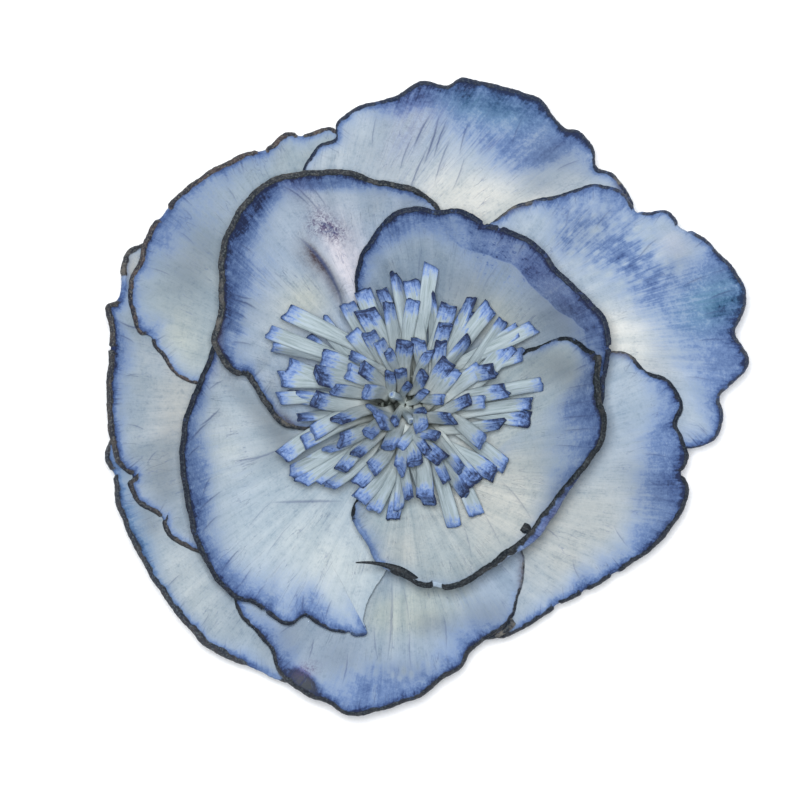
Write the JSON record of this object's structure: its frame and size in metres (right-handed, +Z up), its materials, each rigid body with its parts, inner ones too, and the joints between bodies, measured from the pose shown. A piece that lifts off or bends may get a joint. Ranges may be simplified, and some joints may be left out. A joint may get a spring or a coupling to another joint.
{
  "type": "pith craft peony flower",
  "caption": "Handmade peony head of dyed sola pith: overlapping bark-rimmed petals glued round a turned core under a fringed stamen tuft.",
  "frame": {"origin": "centre of the flat underside of the pith core, which the flower rests on", "axes": "+Z up along the flower's axis, out of the open face; +X to the right and +Y to the top as the flower is looked down on"},
  "size_m": [0.0965, 0.0956, 0.0276],
  "materials": {
    "outer_petals": "matt sola pith slice, pale grey-cream dyed blue towards a dark bark rim",
    "middle_petals": "matt sola pith slice, pale blue with a thick dark bark rim",
    "inner_petals": "matt sola pith slice, slate blue band inside a dark bark rim",
    "core": "matt turned pith, undyed",
    "stamens": "matt cut pith strips, greyish cream with blue dipped tips"
  },
  "bodies": {
    "root": {"outer_petal_1": "outer_petals", "outer_petal_2": "outer_petals", "outer_petal_3": "outer_petals", "outer_petal_4": "outer_petals", "outer_petal_5": "outer_petals", "outer_petal_6": "outer_petals", "outer_petal_7": "outer_petals", "middle_petal_1": "middle_petals", "middle_petal_2": "middle_petals", "inner_petal_1": "inner_petals", "inner_petal_2": "inner_petals", "pith_core": "core", "stamen_comb_1": "stamens", "stamen_comb_2": "stamens", "stamen_comb_3": "stamens", "stamen_comb_4": "stamens", "stamen_comb_5": "stamens", "stamen_comb_6": "stamens", "stamen_comb_7": "stamens"}
  },
  "joints": []
}
